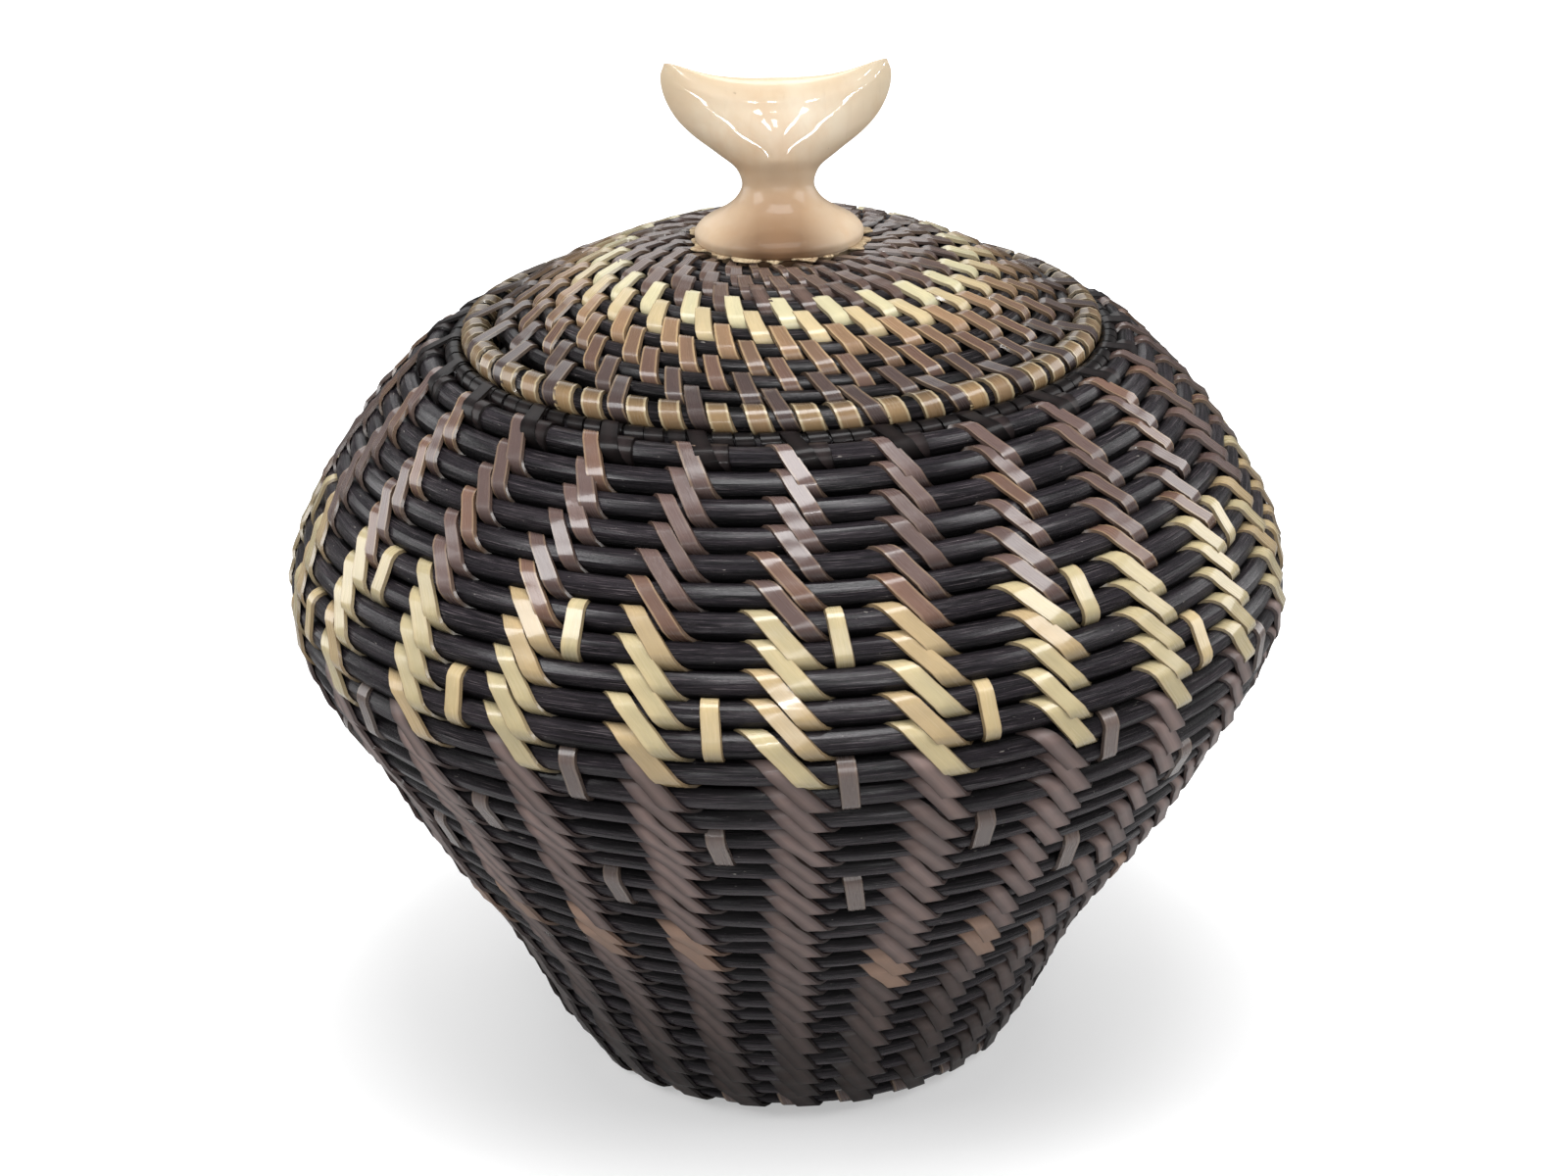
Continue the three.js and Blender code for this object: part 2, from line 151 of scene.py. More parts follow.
class Coil:
    """A rod wound along a line of (radius, height), from a shaved tip to a shaved tip. Outwards is the
    line's right-hand side times out_sign. The rod thins and its unevenness fades towards its tips."""

    def __init__(self, line, rod, end_hoop, out_sign, bulk, unevenness, shift):
        step = np.hypot(*np.diff(line, axis=0).T)
        self.offsets = np.concatenate([[0], np.cumsum(step)])
        self.line = line
        self.slopes = np.gradient(line, self.offsets, axis=0)
        self.out_sign = out_sign
        length = self.offsets[-1]
        tip = TIP_SHARE * rod
        first = SEAT_GAP + tip + COURSE_GAP + rod / 2
        tip_end = length - end_hoop / 2 - COURSE_GAP - tip / 2
        last = tip_end - tip / 2 - COURSE_GAP - rod / 2
        full = max(1, math.floor((last - first) / (rod + COURSE_GAP)))
        self.turns = full + 2
        self.knots = [0, 1, self.turns - 1, self.turns]
        self.knot_offsets = [SEAT_GAP + tip / 2, first, last, tip_end]
        self.taper = [0, 0.5, 1, self.turns - 1, self.turns - 0.5, self.turns - 0.12, self.turns]
        self.taper_radii = [tip / 2, 0.7 * bulk, bulk, bulk, 0.9 * bulk, 0.76 * bulk, tip / 2]
        self.sideways = Drift(unevenness * 0.55)
        self.outwards = Drift(unevenness)
        self.shift = shift
        self.swelling = ([0], [0])
        self.swelling = self.fit_turns()

    def read(self, table, offset):
        return np.stack([np.interp(offset, self.offsets, table[:, k]) for k in (0, 1)], -1)

    def offset(self, turn):
        return np.interp(turn, self.knots, self.knot_offsets)

    def radius(self, turn):
        return np.interp(turn, self.taper, self.taper_radii) + np.interp(turn, *self.swelling)

    def fit_turns(self):
        """Where two neighbouring turns stand apart by a gap, both rods are half the gap thicker, so that
        they touch: how much thicker, at each of many turns, averaged over a tenth of a turn."""
        turn = np.arange(self.turns * FIT_STEPS + 1) / FIT_STEPS
        middle, bulk = self.centre(turn), self.radius(turn)
        apart = np.linalg.norm(middle[FIT_STEPS:] - middle[:-FIT_STEPS], axis=-1)
        gap = apart - bulk[FIT_STEPS:] - bulk[:-FIT_STEPS]
        none = np.zeros(FIT_STEPS)
        wider = np.maximum(np.concatenate([gap, none]), np.concatenate([none, gap]))
        swell = np.clip(wider / 2 + CONTACT, 0, MOST_SWELL)
        return turn, np.convolve(swell, np.ones(FIT_AVERAGE) / FIT_AVERAGE, "same")

    def axes(self, turn):
        """Unit vectors (radius, height) on along the line and outwards."""
        along = self.read(self.slopes, self.offset(turn))
        along /= np.linalg.norm(along, axis=-1, keepdims=True)
        out = self.out_sign * np.stack([along[..., 1], -along[..., 0]], -1)
        return along, out

    def centre(self, turn):
        """The rod's middle as (radius, height): the line's point, moved by the unevenness."""
        offset = self.offset(turn)
        point = self.read(self.line, offset)
        along, out = self.axes(turn)
        calm = np.clip(np.minimum(turn, self.turns - turn), 0, 1) * (0.4 + 0.6 * ease(offset, 12, 20))
        side = self.sideways.at(turn) * calm
        rise = self.outwards.at(turn) * calm
        moved = self.shift(offset, point, START + TURN * turn)
        return point + moved + side[..., None] * along + rise[..., None] * out


class Hoop:
    """A level hoop of rod, a little uneven along one slanting direction."""

    def __init__(self, place, bulk):
        self.place = np.array(place, float)
        self.bulk = bulk
        self.unevenness = Drift(0.05, 2, 8)

    def radius(self, turn):
        return np.full(np.shape(turn), self.bulk)

    def axes(self, turn):
        shape = (*np.shape(turn), 2)
        return np.broadcast_to([0.0, 1.0], shape), np.broadcast_to([1.0, 0.0], shape)

    def centre(self, turn):
        return self.place + self.unevenness.at(turn)[..., None] * np.array([0.6, 0.8])


FLAT_START = (FOOT_RADIUS - FLAT_FOOT, WALL_FLAT)
lower_knots = spread(LOWER_WALL, (FOOT_RADIUS, 0), BELLY)
basket_line = np.vstack(
    [
        bend((BASE_DISC, WALL_FLAT + BASE_KICK), ((BASE_DISC + FLAT_START[0]) / 2, WALL_FLAT), FLAT_START),
        [FLAT_START],
        bend((FOOT_RADIUS, WALL_FLAT), (FOOT_RADIUS + FOOT_TURN, WALL_FLAT), lower_knots[0]),
        through(lower_knots + spread(UPPER_WALL, BELLY, MOUTH)),
    ]
)
dome_line = through([(LID_DISC, LID_CROWN)] + spread(DOME, (LID_DISC, LID_CROWN), LID_HOOP))
flange_radius = MOUTH[0] - HOOP_ROD / 2 - FLANGE_FIT - FLAT_SHARE * LID_ROD
flange_top = LID_HOOP[1] - HOOP_ROD / 2
flange_line = np.linspace((flange_radius, flange_top), (flange_radius, flange_top - FLANGE_HEIGHT), 30)
wall_length = np.hypot(*np.diff(basket_line, axis=0).T).sum()


def wall_shift(offset, point, angle):
    """How far the wall's rod lies from its line. The base is lifted off the table. The wall leans to the
    right, by 0.7 exp(-((height - 45) / 12)^2) mm along +X, and between foot and shoulder it is 0.3 mm
    slimmer. The last turn nestles up to the mouth's hoop."""
    height = point[..., 1]
    lean = 0.7 * np.exp(-(((height - 45) / 12) ** 2)) * np.cos(angle)
    slim = -0.3 * ease(height, 12, 35) * (1 - ease(height, 80, 90))
    lift = BASE_LIFT * (1 - ease(offset, BASE_END, BASE_END + 5))
    left = wall_length - offset
    nestle = (1 - ease(left, 3.8, 4.55)) * ease(left, 2.3, 3.0) * 0.45
    nestle = nestle + 0.18 * (1 - ease(left, 6.5, 10)) * ease(left, 2.3, 5)
    return np.stack([lean + slim - nestle, lift + 1.05 * nestle], -1)


def dome_shift(offset, point, angle):
    """The middle courses lie up to 0.8 mm further in than even spacing would have them, and the dome sags
    in front and rises behind by under half a millimetre."""
    radius = point[..., 0]
    middle = ease(radius, 11, 18) * (1 - ease(radius, 31, 36))
    front = -np.sin(angle)
    return np.stack([-0.8 * middle, middle * (0.08 - 0.34 * front)], -1)


def flange_shift(offset, point, angle):
    """The flange's turns lie closer together, and closer to the hoop, than their line has them."""
    rise = 0.3 + 0.65 * ease(offset, 2.4, 7.3)
    return np.stack([np.zeros_like(rise), rise], -1)


wall = Coil(basket_line, WALL_ROD, HOOP_ROD, 1, WALL_BULK, 0.08, wall_shift)
dome = Coil(dome_line, LID_ROD, HOOP_ROD, -1, LID_BULK, 0.07, dome_shift)
flange = Coil(flange_line, LID_ROD, 0, -1, LID_BULK, 0.03, flange_shift)
mouth_hoop = Hoop(MOUTH_HOOP, MOUTH_HOOP_BULK)
lid_hoop = Hoop((LID_HOOP[0], LID_HOOP[1] - LID_HOOP_DROP), LID_HOOP_BULK)
BASE_TURNS = 5
THIRD = (wall.turns - BASE_TURNS) / 3
LOWER_END = BASE_TURNS + round(THIRD)
BELLY_END = BASE_TURNS + round(2 * THIRD)


# Meshes


def place_round(angle, point):
    """(radius, height) points turned to their angles round the axis."""
    return np.stack([point[..., 0] * np.cos(angle), point[..., 0] * np.sin(angle), point[..., 1]], -1)


def grid_faces(rows, sides, closed_rows=False):
    """Quads of a tube of rows rings with sides points each. Its rows run round too where they are closed."""
    i = np.arange(rows if closed_rows else rows - 1)[:, None]
    k = np.arange(sides)[None, :]
    j = (i + 1) % rows
    n = (k + 1) % sides
    quads = np.stack([i * sides + k, i * sides + n, j * sides + n, j * sides + k], -1)
    return quads.reshape(-1, 4)


def inside_out(points, faces):
    """True where the quads enclose a negative volume: the sum of a . (b x c) over their triangles."""
    a, b, c, d = (points[faces[:, k]] for k in range(4))
    volume = np.einsum("ij,ij->i", a, np.cross(b, c)) + np.einsum("ij,ij->i", a, np.cross(c, d))
    return volume.sum() < 0


def add_object(name, data):
    thing = bpy.data.objects.new(name, data)
    bpy.context.collection.objects.link(thing)
    return thing


def make_piece(name, body, slot, material, points, faces, fields, stands_for, sharp=None):
    """A mesh piece from points in millimetres and lists of faces, with its fields as point attributes.
    Edges sharper than so many degrees stay sharp."""
    mesh = bpy.data.meshes.new(name)
    mesh.from_pydata((points * MM).tolist(), [], faces)
    for key, values in fields.items():
        colour = values.shape[-1] == 4
        layer = mesh.attributes.new(key, "FLOAT_COLOR" if colour else "FLOAT_VECTOR", "POINT")
        layer.data.foreach_set("color" if colour else "vector", values.astype(np.float32).ravel())
    mesh.update()
    mesh.polygons.foreach_set("use_smooth", [True] * len(mesh.polygons))
    if sharp:
        mesh.set_sharp_from_angle(angle=math.radians(sharp))
    mesh.materials.append(material)
    piece = add_object(name, mesh)
    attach(piece, body)
    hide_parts(*stands_for)


def rod_mesh(coil, first, last):
    """Points, faces and fields of a rod: rings round the coil's middle line, with a smaller one and a face
    at each end. A rod is shaved to flats: every second point of a ring lies on a corner, further out than
    the flats between, and the corners wind slowly to and fro round the rod. Its second field holds painted
    light: first painted shade, how far a point lies in shade under the next rod up where the wall overhangs
    and else on the rod's own underside; then a painted lighter band near an overhanging rod's lower edge."""
    turn = np.linspace(first, last, round((last - first) * ROD_STEPS) + 1)
    end = SPLICE_GAP / 2 / (TURN * coil.centre(turn[[0, -1]])[:, 0])
    turn[0] += end[0]
    turn[-1] -= end[1]
    turn = np.concatenate([turn[:1], turn[:1] + end[0], turn[1:-1], turn[-1:] - end[1], turn[-1:]])
    scale = np.ones(len(turn))
    scale[[0, -1]] = 0.72
    side = np.arange(ROD_SIDES)
    twist = 0.9 * np.sin(2.1 * turn) + 0.5 * np.sin(5.3 * turn + 1.0)
    phi = side * TURN / ROD_SIDES + twist[:, None]
    along, out = coil.axes(turn)
    centre = coil.centre(turn)
    bulk = coil.radius(turn) * scale * (1 + 0.012 * np.sin(11.3 * turn) + 0.008 * np.sin(29.0 * turn))
    radius = bulk[:, None] * np.where(side % 2, 0.975, 1.0)
    rise, reach = radius * np.sin(phi), radius * np.cos(phi)
    section = centre[:, None, :] + rise[..., None] * along[:, None, :] + reach[..., None] * out[:, None, :]
    angle = START + TURN * turn
    points = place_round(angle[:, None], section).reshape(-1, 3)
    run = np.concatenate([[0], np.cumsum(np.diff(angle) * centre[:-1, 0])])
    grain = np.stack([reach, rise, np.broadcast_to(run[:, None], radius.shape)], -1)
    lean = np.clip(-2.2 * out[:, 1], 0, 1)[:, None]
    upwards = np.sin(phi) * np.clip(8 * along[:, 1], -1, 1)[:, None]
    # painted shade under the next rod up where the wall overhangs, else on the rod's own underside; and
    # painted light, a lighter band along an overhanging rod's lower edge
    painted_shade = lean * ease(upwards, 0.15, 0.75) + (1 - lean) * ease(-upwards, 0.3, 0.85)
    edge = lean * ease(-upwards, -0.1, 0.5)
    overhung = np.stack([painted_shade, edge, np.zeros_like(edge)], -1)
    faces = grid_faces(len(turn), ROD_SIDES)
    caps = np.stack([side[::-1], (len(turn) - 1) * ROD_SIDES + side])
    if inside_out(points, faces):
        faces, caps = faces[:, ::-1], caps[:, ::-1]
    fields = {"grain": grain.reshape(-1, 3), "overhung": overhung.reshape(-1, 3)}
    return points, faces.tolist() + caps.tolist(), fields


# Places round a stitch over two rods, from the gap beyond the higher rod, over both on the outside, into
# the gap beyond the lower rod, and back on the inside: which rod (1 higher, 0 lower) and the turn from
# outwards in degrees.
STITCH = np.array(
    [(1, 90), (1, 72), (1, 50), (1, 28), (1, 8), (0.7, 0), (0.3, 0), (0, -8), (0, -28), (0, -50), (0, -72)]
    + [(0, -90), (0, -138), (0, -180), (1, 180), (1, 138)]
)
# Places round a wrap over a single rod, whose two ends meet at its hidden inner side.
WRAP = np.array([(0, beta) for beta in range(168, -193, -30)])
# How light a strip is by its turn from outwards: painted shade where it tucks in between the rods.
TUCKED_PAINTED_SHADE = (
    [-180, -90, -72, -50, -28, -8, 0, 28, 50, 72, 90, 180],
    [0.2, 0.16, 0.3, 0.55, 0.85, 1.0, 1.0, 1.05, 1.0, 0.7, 0.3, 0.2],
)
WRAP_PAINTED_SHADE = ([-180, -90, -60, -30, 30, 60, 90, 180], [0.2, 0.3, 0.7, 1.0, 1.0, 0.7, 0.3, 0.2])
CORNER_SIDE = np.array([-1.0, 1.0, 1.0, -1.0])
CORNER_DEPTH = np.array([0.0, 0.0, 1.0, 1.0])
BEVEL = 0.35  # how much narrower a strip is outside, on each side, as a share of its thickness
RUN_STEP = 0.6  # what the grain's Y grows by from one place round the rods to the next


class Strips:
    """A set of flat strips bound round rods. Each strip is a flat band in the unrolled surface of its rods:
    at the place Y round the rods its middle lies slope x Y along them, so it leans as a real one does."""

    def __init__(self):
        self.points, self.faces, self.grain, self.tint = [], [], [], []
        self.count = 0

    def bind(
        self, low_rod, low_turn, angle, slope, width, thickness, tint, edge=0.0, high=None, wrap=False,
        seat=0.0, lap=0.0, dip=0.0, curl=0.0,
    ):
        """Adds strips, each with its own turn of the lower rod and its own angle. The higher rod is the next
        turn, or high gives it and its turns, and a wrap goes round one rod only. Sizes are one for all or
        one for each. A point lies beyond the rod's middle by the rod's radius, the seat, the lap over the
        lower rod, less the dip between the two, and on the outer face by the thickness. A strip's middle is
        at slope x Y plus curl x (turn round the rod / 90 degrees)^3 towards each end."""
        count = len(angle)
        high_rod, high_turn = high or (low_rod, low_turn if wrap else low_turn + 1)
        stations, shades = (WRAP, WRAP_PAINTED_SHADE) if wrap else (STITCH, TUCKED_PAINTED_SHADE)
        slope, width, thickness, edge, curl = (
            np.broadcast_to(each, count)[:, None] for each in (slope, width, thickness, edge, curl)
        )
        across = stations[:, 0]
        beta = np.radians(stations[:, 1])
        folded = beta
        if not wrap:
            folded = np.where(abs(beta) <= math.pi / 2, beta, np.sign(beta) * (math.pi - abs(beta)))
        bulk = (1 - across) * low_rod.radius(low_turn)[:, None] + across * high_rod.radius(high_turn)[:, None]
        climb = high_rod.centre(high_turn) - low_rod.centre(low_turn)
        gap = np.linalg.norm(climb, axis=-1, keepdims=True)
        travel = (across - 0.5) * gap + bulk * folded
        middle = slope * travel + np.sign(slope) * curl * (folded * 2 / math.pi) ** 3
        half = width[..., None] / 2 - BEVEL * thickness[..., None] * CORNER_DEPTH
        x = middle[..., None] + CORNER_SIDE * half
        reach = low_rod.centre(low_turn)[:, 0][:, None, None]
        turned = x / reach / TURN
        low_centre = low_rod.centre(low_turn[:, None, None] + turned)
        high_centre = high_rod.centre(high_turn[:, None, None] + turned)
        share = across[None, :, None, None]
        centre = low_centre * (1 - share) + high_centre * share
        along, out = low_rod.axes(low_turn)
        if not wrap:
            along = climb / gap
            low_out, out = out, np.stack([along[:, 1], -along[:, 0]], -1)
            out *= np.sign((out * low_out).sum(-1, keepdims=True))
        along, out = along[:, None, None, :], out[:, None, None, :]
        front = np.clip(np.cos(beta), 0, 1)
        skin = bulk + seat + lap * (1 - across) * front - dip * 4 * across * (1 - across) * front
        reach_out = (skin[..., None] + thickness[..., None] * CORNER_DEPTH)[..., None]
        turn = beta[None, :, None, None]
        section = centre + reach_out * (np.cos(turn) * out + np.sin(turn) * along)
        points = place_round(angle[:, None, None] + x / reach, section).reshape(-1, 3)
        rows, sides = len(across), 4
        starts = np.arange(count)[:, None] * rows * sides
        faces = (starts[..., None] + grid_faces(rows, sides, closed_rows=not wrap)).reshape(-1, 4)
        caps = [starts + [3, 2, 1, 0], starts + (rows - 1) * sides + [0, 1, 2, 3]] if wrap else []
        if inside_out(points, faces):
            faces = faces[:, ::-1]
            caps = [cap[:, ::-1] for cap in caps]
        for some in (faces, *caps):
            self.faces += (some + self.count).tolist()
        self.count += len(points)
        self.points.append(points)
        shape = (count, rows, sides)
        run = (np.arange(rows) * RUN_STEP)[None, :, None]
        marks = rng.uniform(0, 50, count)[:, None, None]
        grain = np.stack([np.broadcast_to(each, shape) for each in (CORNER_SIDE, run, marks)], -1)
        self.grain.append(grain.reshape(-1, 3))
        # painted shade where the strip tucks in between the rods: it dims the tint and its worn edge
        shadow = np.interp(stations[:, 1], *shades)[None, :, None, None]
        colour = np.concatenate([tint[:, None, None, :] * shadow, edge[..., None, None] * shadow**0.5], -1)
        self.tint.append(np.broadcast_to(colour, (*shape, 4)).reshape(-1, 4))

    def piece(self, name, body, material, stands_for):
        fields = {"grain": np.concatenate(self.grain), "tint": np.concatenate(self.tint)}
        points = np.concatenate(self.points)
        make_piece(name, body, "baleen_strip", material, points, self.faces, fields, stands_for, sharp=50)


def linear(*colour):
    """A colour as the eye counts it, 0 to 255, turned into light."""
    share = np.array(colour, float) / 255
    return np.where(share > 0.04045, ((share + 0.055) / 1.055) ** 2.4, share / 12.92)


def jitter(count, size, middle=0.0):
    return middle + size * rng.uniform(-1, 1, count)


def shade_of(colour, count, spread=0.1):
    """A colour for each of count strips, a little lighter or darker than its neighbours."""
    return linear(*colour) * jitter(count, spread, 1.0)[:, None]


# Materials


class Value:
    """A number in a material's nodes. Plain arithmetic on it adds Math nodes."""

    def __init__(self, shade, socket):
        self.shade = shade
        self.socket = socket

    def math(self, operation, *others, clamp=False):
        settings = {"operation": operation, "use_clamp": clamp}
        return self.shade.node("Math", settings, dict(enumerate((self, *others))))

    def __add__(self, other):
        return self.math("ADD", other)

    __radd__ = __add__

    def __sub__(self, other):
        return self.math("SUBTRACT", other)

    def __rsub__(self, other):
        return (self * -1.0) + other

    def __mul__(self, other):
        return self.math("MULTIPLY", other)

    __rmul__ = __mul__

    def size(self):
        return self.math("ABSOLUTE")

    def over(self, low, high):
        """0 below low, 1 above high and a straight climb between."""
        return ((self - low) * (1.0 / (high - low))).math("MULTIPLY", 1.0, clamp=True)


class Shade:
    """The nodes of a material or of the world. Its node method adds a node from its type, settings and
    inputs, and set gives inputs to a node that is there from the start."""

    def __init__(self, name, kind="materials"):
        self.owner = getattr(bpy.data, kind).new(name)
        self.owner.use_nodes = True
        self.nodes = self.owner.node_tree.nodes
        self.links = self.owner.node_tree.links

    def put(self, socket, value):
        if isinstance(value, Value):
            self.links.new(value.socket, socket)
        elif socket.type == "RGBA" and len(value) == 3:
            socket.default_value = (*value, 1.0)
        else:
            socket.default_value = value

    def set(self, name, **inputs):
        node = self.nodes[name]
        for key, value in inputs.items():
            self.put(node.inputs[key.replace("_", " ")], value)
        return node

    def node(self, kind, settings=None, inputs=None, output=0):
        node = self.nodes.new("ShaderNode" + kind)
        for key, value in (settings or {}).items():
            setattr(node, key, value)
        for key, value in (inputs or {}).items():
            self.put(node.inputs[key], value)
        return Value(self, node.outputs[output])

    def field(self, name, output="Vector"):
        return self.node("Attribute", {"attribute_name": name}, {}, output)

    def place(self):
        return self.node("TexCoord", output="Object")

    def stretch(self, vector, scale):
        """The vector with each part multiplied by its own scale."""
        return self.node("VectorMath", {"operation": "MULTIPLY"}, {0: vector, 1: scale})

    def part(self, vector, name):
        return self.node("SeparateXYZ", {}, {0: vector}, name)

    def noise(self, vector, scale, detail=3.0, roughness=0.6):
        """Noise whose grains are 1 / scale long along each part of the vector."""
        inputs = {"Scale": 1.0, "Detail": detail, "Roughness": roughness}
        return self.node("TexNoise", {}, {"Vector": self.stretch(vector, scale), **inputs})

    def mix(self, share, first, second):
        return self.node("Mix", {"data_type": "RGBA"}, {0: share, 6: first, 7: second}, 2)

    def paint(self, body, *coats):
        """A body colour under coats, each a share and a colour. Plain colours are as the eye counts them."""
        for share, colour in coats:
            pair = (each if isinstance(each, Value) else linear(*each) for each in (body, colour))
            body = self.mix(share, *pair)
        return body

    def bump(self, height, distance):
        return self.node("Bump", {}, {"Height": height, "Distance": distance})

    def finish(self, **inputs):
        self.set("Principled BSDF", **inputs)
        return self.owner


def baleen_rod_finish(name, dark, light, grain_depth):
    """Scraped black baleen: fine lines and shallow scrapes along the rod, a dusty bloom in patches, and
    a few pale specks, which are painted glints. It shines on top. Painted shade makes it black between the
    rods and in their shade, and painted light makes a paler band along an overhanging rod's lower edge."""
    shade = Shade(name)
    grain = shade.field("grain")
    overhung = shade.field("overhung")
    lines = shade.noise(grain, (3.2, 3.2, 0.10), 4.0, 0.65)
    hairs = shade.noise(grain, (9.0, 9.0, 0.22))
    scrapes = shade.noise(grain, (1.3, 1.3, 0.035), 2.0, 0.5)
    bloom = shade.noise(grain, (0.35, 0.35, 0.06))
    painted_glints = shade.noise(grain, (2.6, 2.6, 0.9), 2.0, 0.5)
    dust = shade.noise(grain, (5.5, 5.5, 2.6), 2.0, 0.5)
    # painted shade: where this is low the rod is painted near black, between the rods and in their shade
    top = shade.part(grain, "X").over(0.45, 1.3) * (1.0 - shade.part(overhung, "X") * 0.9)
    lit_lower_edge = shade.part(overhung, "Y")
    body = shade.paint(
        dark,
        (lines.over(0.38, 0.68), light),
        (bloom.over(0.50, 0.78) * 0.35, (72, 64, 68)),
        (hairs.over(0.57, 0.70) * 0.6, (120, 110, 113)),
        # pale specks: painted glints
        (painted_glints.over(0.73, 0.78) * 0.6, (176, 170, 162)),
        # painted light: a paler band along an overhanging rod's lower edge
        (lit_lower_edge * (lines * 0.5 + 0.3), (92, 84, 88)),
        # painted shade: near black between the rods and in their shade
        ((1.0 - top) * 0.95, (2, 2, 2)),
    )
    return shade.finish(
        Base_Color=body,
        Roughness=0.34 + bloom.over(0.4, 0.8) * 0.15 + lines.over(0.3, 0.8) * 0.15,
        Normal=shade.bump(scrapes + lines * 0.8 + hairs * 0.4 + dust * 0.5, grain_depth),
        Specular_IOR_Level=0.06,
        Coat_Weight=top * (scrapes.over(0.35, 0.65) * 0.4 + dust.over(0.35, 0.65) * 0.22 + 0.14),
        Coat_Roughness=0.22,
    )


def strip_finish(name, edge_colour, roughness, coat, specular=0.5):
    """Split baleen strip: the tint of each stitch with fibres along it, cloudy patches, and a paler, worn
    line down each edge where the tint's last number asks for one. Painted shade darkens the very edges of
    every strip, and where no worn line is asked for it darkens the edges broadly, so the strip looks round."""
    shade = Shade(name)
    grain = shade.field("grain")
    tint = shade.field("tint", "Color")
    edge_share = shade.field("tint", "Alpha")
    sideways = shade.part(grain, "X").size()
    run = shade.part(grain, "Y")
    fibres = shade.noise(grain, (3.4, 0.35, 1.0), 4.0, 0.6)
    fine = shade.noise(grain, (11.0, 0.5, 1.0))
    clouds = shade.noise(grain, (0.5, 0.28, 1.0), roughness=0.55)
    worn = sideways + fibres * 0.2
    painted_round_shade = sideways.over(0.2, 1.0) * (1.0 - edge_share.over(0.0, 0.08))
    body = shade.paint(
        tint,
        (fibres.over(0.35, 0.75) * 0.35, shade.stretch(tint, (0.78, 0.73, 0.70))),
        (clouds.over(0.42, 0.72) * 0.6, shade.stretch(tint, (1.28, 1.22, 1.14))),
        (fine.over(0.6, 0.8) * 0.2, shade.stretch(tint, (0.6, 0.54, 0.52))),
        (worn.over(0.78, 0.95) * edge_share, edge_colour),
        # painted shade: a dark line along the very edge of every strip
        (sideways.over(0.92, 1.0) * 0.75, shade.stretch(tint, (0.3, 0.26, 0.24))),
        # painted shade: broad darker edges where no worn line is asked for, so the strip looks round
        (painted_round_shade * 0.75, shade.stretch(tint, (0.22, 0.2, 0.2))),
    )
    outside = run.over(0.9, 1.8) * (1.0 - run.over(4.6, 5.6))
    return shade.finish(
        Base_Color=body,
        Roughness=roughness + fibres * 0.12 + clouds * 0.06,
        Normal=shade.bump(fibres * 0.6 + fine * 0.3, 0.00002),
        Specular_IOR_Level=specular,
        Coat_Weight=outside * coat,
        Coat_Roughness=0.1,
    )


rod_finish = baleen_rod_finish("baleen_rod", (18, 16, 19), (48, 43, 48), 0.00022)
lid_rod_finish = baleen_rod_finish("baleen_lid_rod", (14, 13, 15), (40, 36, 38), 0.00014)
WORN_EDGE = (186, 158, 120)
strip_surface = strip_finish("baleen_strip", WORN_EDGE, 0.18, 0.5)
rim_surface = strip_finish("baleen_rim_strip", (204, 187, 150), 0.18, 0.5)
mouth_surface = strip_finish("baleen_mouth_strip", (120, 104, 92), 0.3, 0.16, 0.15)
lower_surface = strip_finish("baleen_lower_strip", WORN_EDGE, 0.34, 0.1, 0.3)
lid_surface = strip_finish("baleen_lid_strip", WORN_EDGE, 0.18, 0.5, 0.35)

# The rods

# The CAD's node, its coil, and the first and last turn of the rod
RODS = [
    ("base_rod", wall, 0, BASE_TURNS),
    ("lower_wall_rod", wall, BASE_TURNS, LOWER_END),
    ("belly_rod", wall, LOWER_END, BELLY_END),
    ("shoulder_rod", wall, BELLY_END, wall.turns),
    ("mouth_hoop", mouth_hoop, 0, 1),
    ("lid_rod", dome, 0, dome.turns),
    ("lid_hoop", lid_hoop, 0, 1),
    ("lid_flange_rod", flange, 0, flange.turns),
]
for node, coil, first, last in RODS:
    name = "round_lid_flange" if coil is flange else "round_" + node
    body, surface = ("lid", lid_rod_finish) if node.startswith("lid") else ("basket", rod_finish)
    make_piece(name, body, "baleen_rod", surface, *rod_mesh(coil, first, last), [node], sharp=25)

# The strips on the wall

MAUVE_BROWN = (100, 82, 78)
WARM_BROWN = (114, 88, 76)
GREY_BROWN = (92, 79, 76)
LIGHT_BROWN = (144, 119, 104)
SPOT_BROWN = (103, 91, 87)
CREAM = (192, 178, 140)
SPOT_CREAM = (202, 182, 140)
PALE_TAN = (184, 162, 124)
PALEST = (204, 196, 160)
# The mouth's strips: dark baleen, made darker still as painted shade under the lid's rim
DARK_STRIP = (30, 24, 24)
TOP_STRIP = (44, 36, 36)
FLANGE_STRIP = (74, 62, 60)
wall_nodes = [f"wall_binding_{k:02d}" for k in range(1, COLUMNS + 1)]
lid_nodes = [f"lid_binding_{k:02d}" for k in range(1, COLUMNS + 1)]


def share_at(angle):
    """How far round its turn a coil is at an angle."""
    return ((angle - START) / TURN) % 1.0


def evenly(count, stray=0.0, stagger=0.0):
    """Angles spaced evenly round the basket, from so many degrees and a share of a space beyond the front."""
    return FRONT + math.radians(stray) + (np.arange(count) + stagger) * TURN / count


def column_turns(coil, angles, lowest, highest):
    """Every angle of a column, with the turn and the count of turns of the lower rod, for each count from
    lowest to below highest."""
    angle, course = np.meshgrid(angles, np.arange(lowest, highest), indexing="ij")
    return angle.ravel(), (course + share_at(angle)).ravel(), course.ravel()


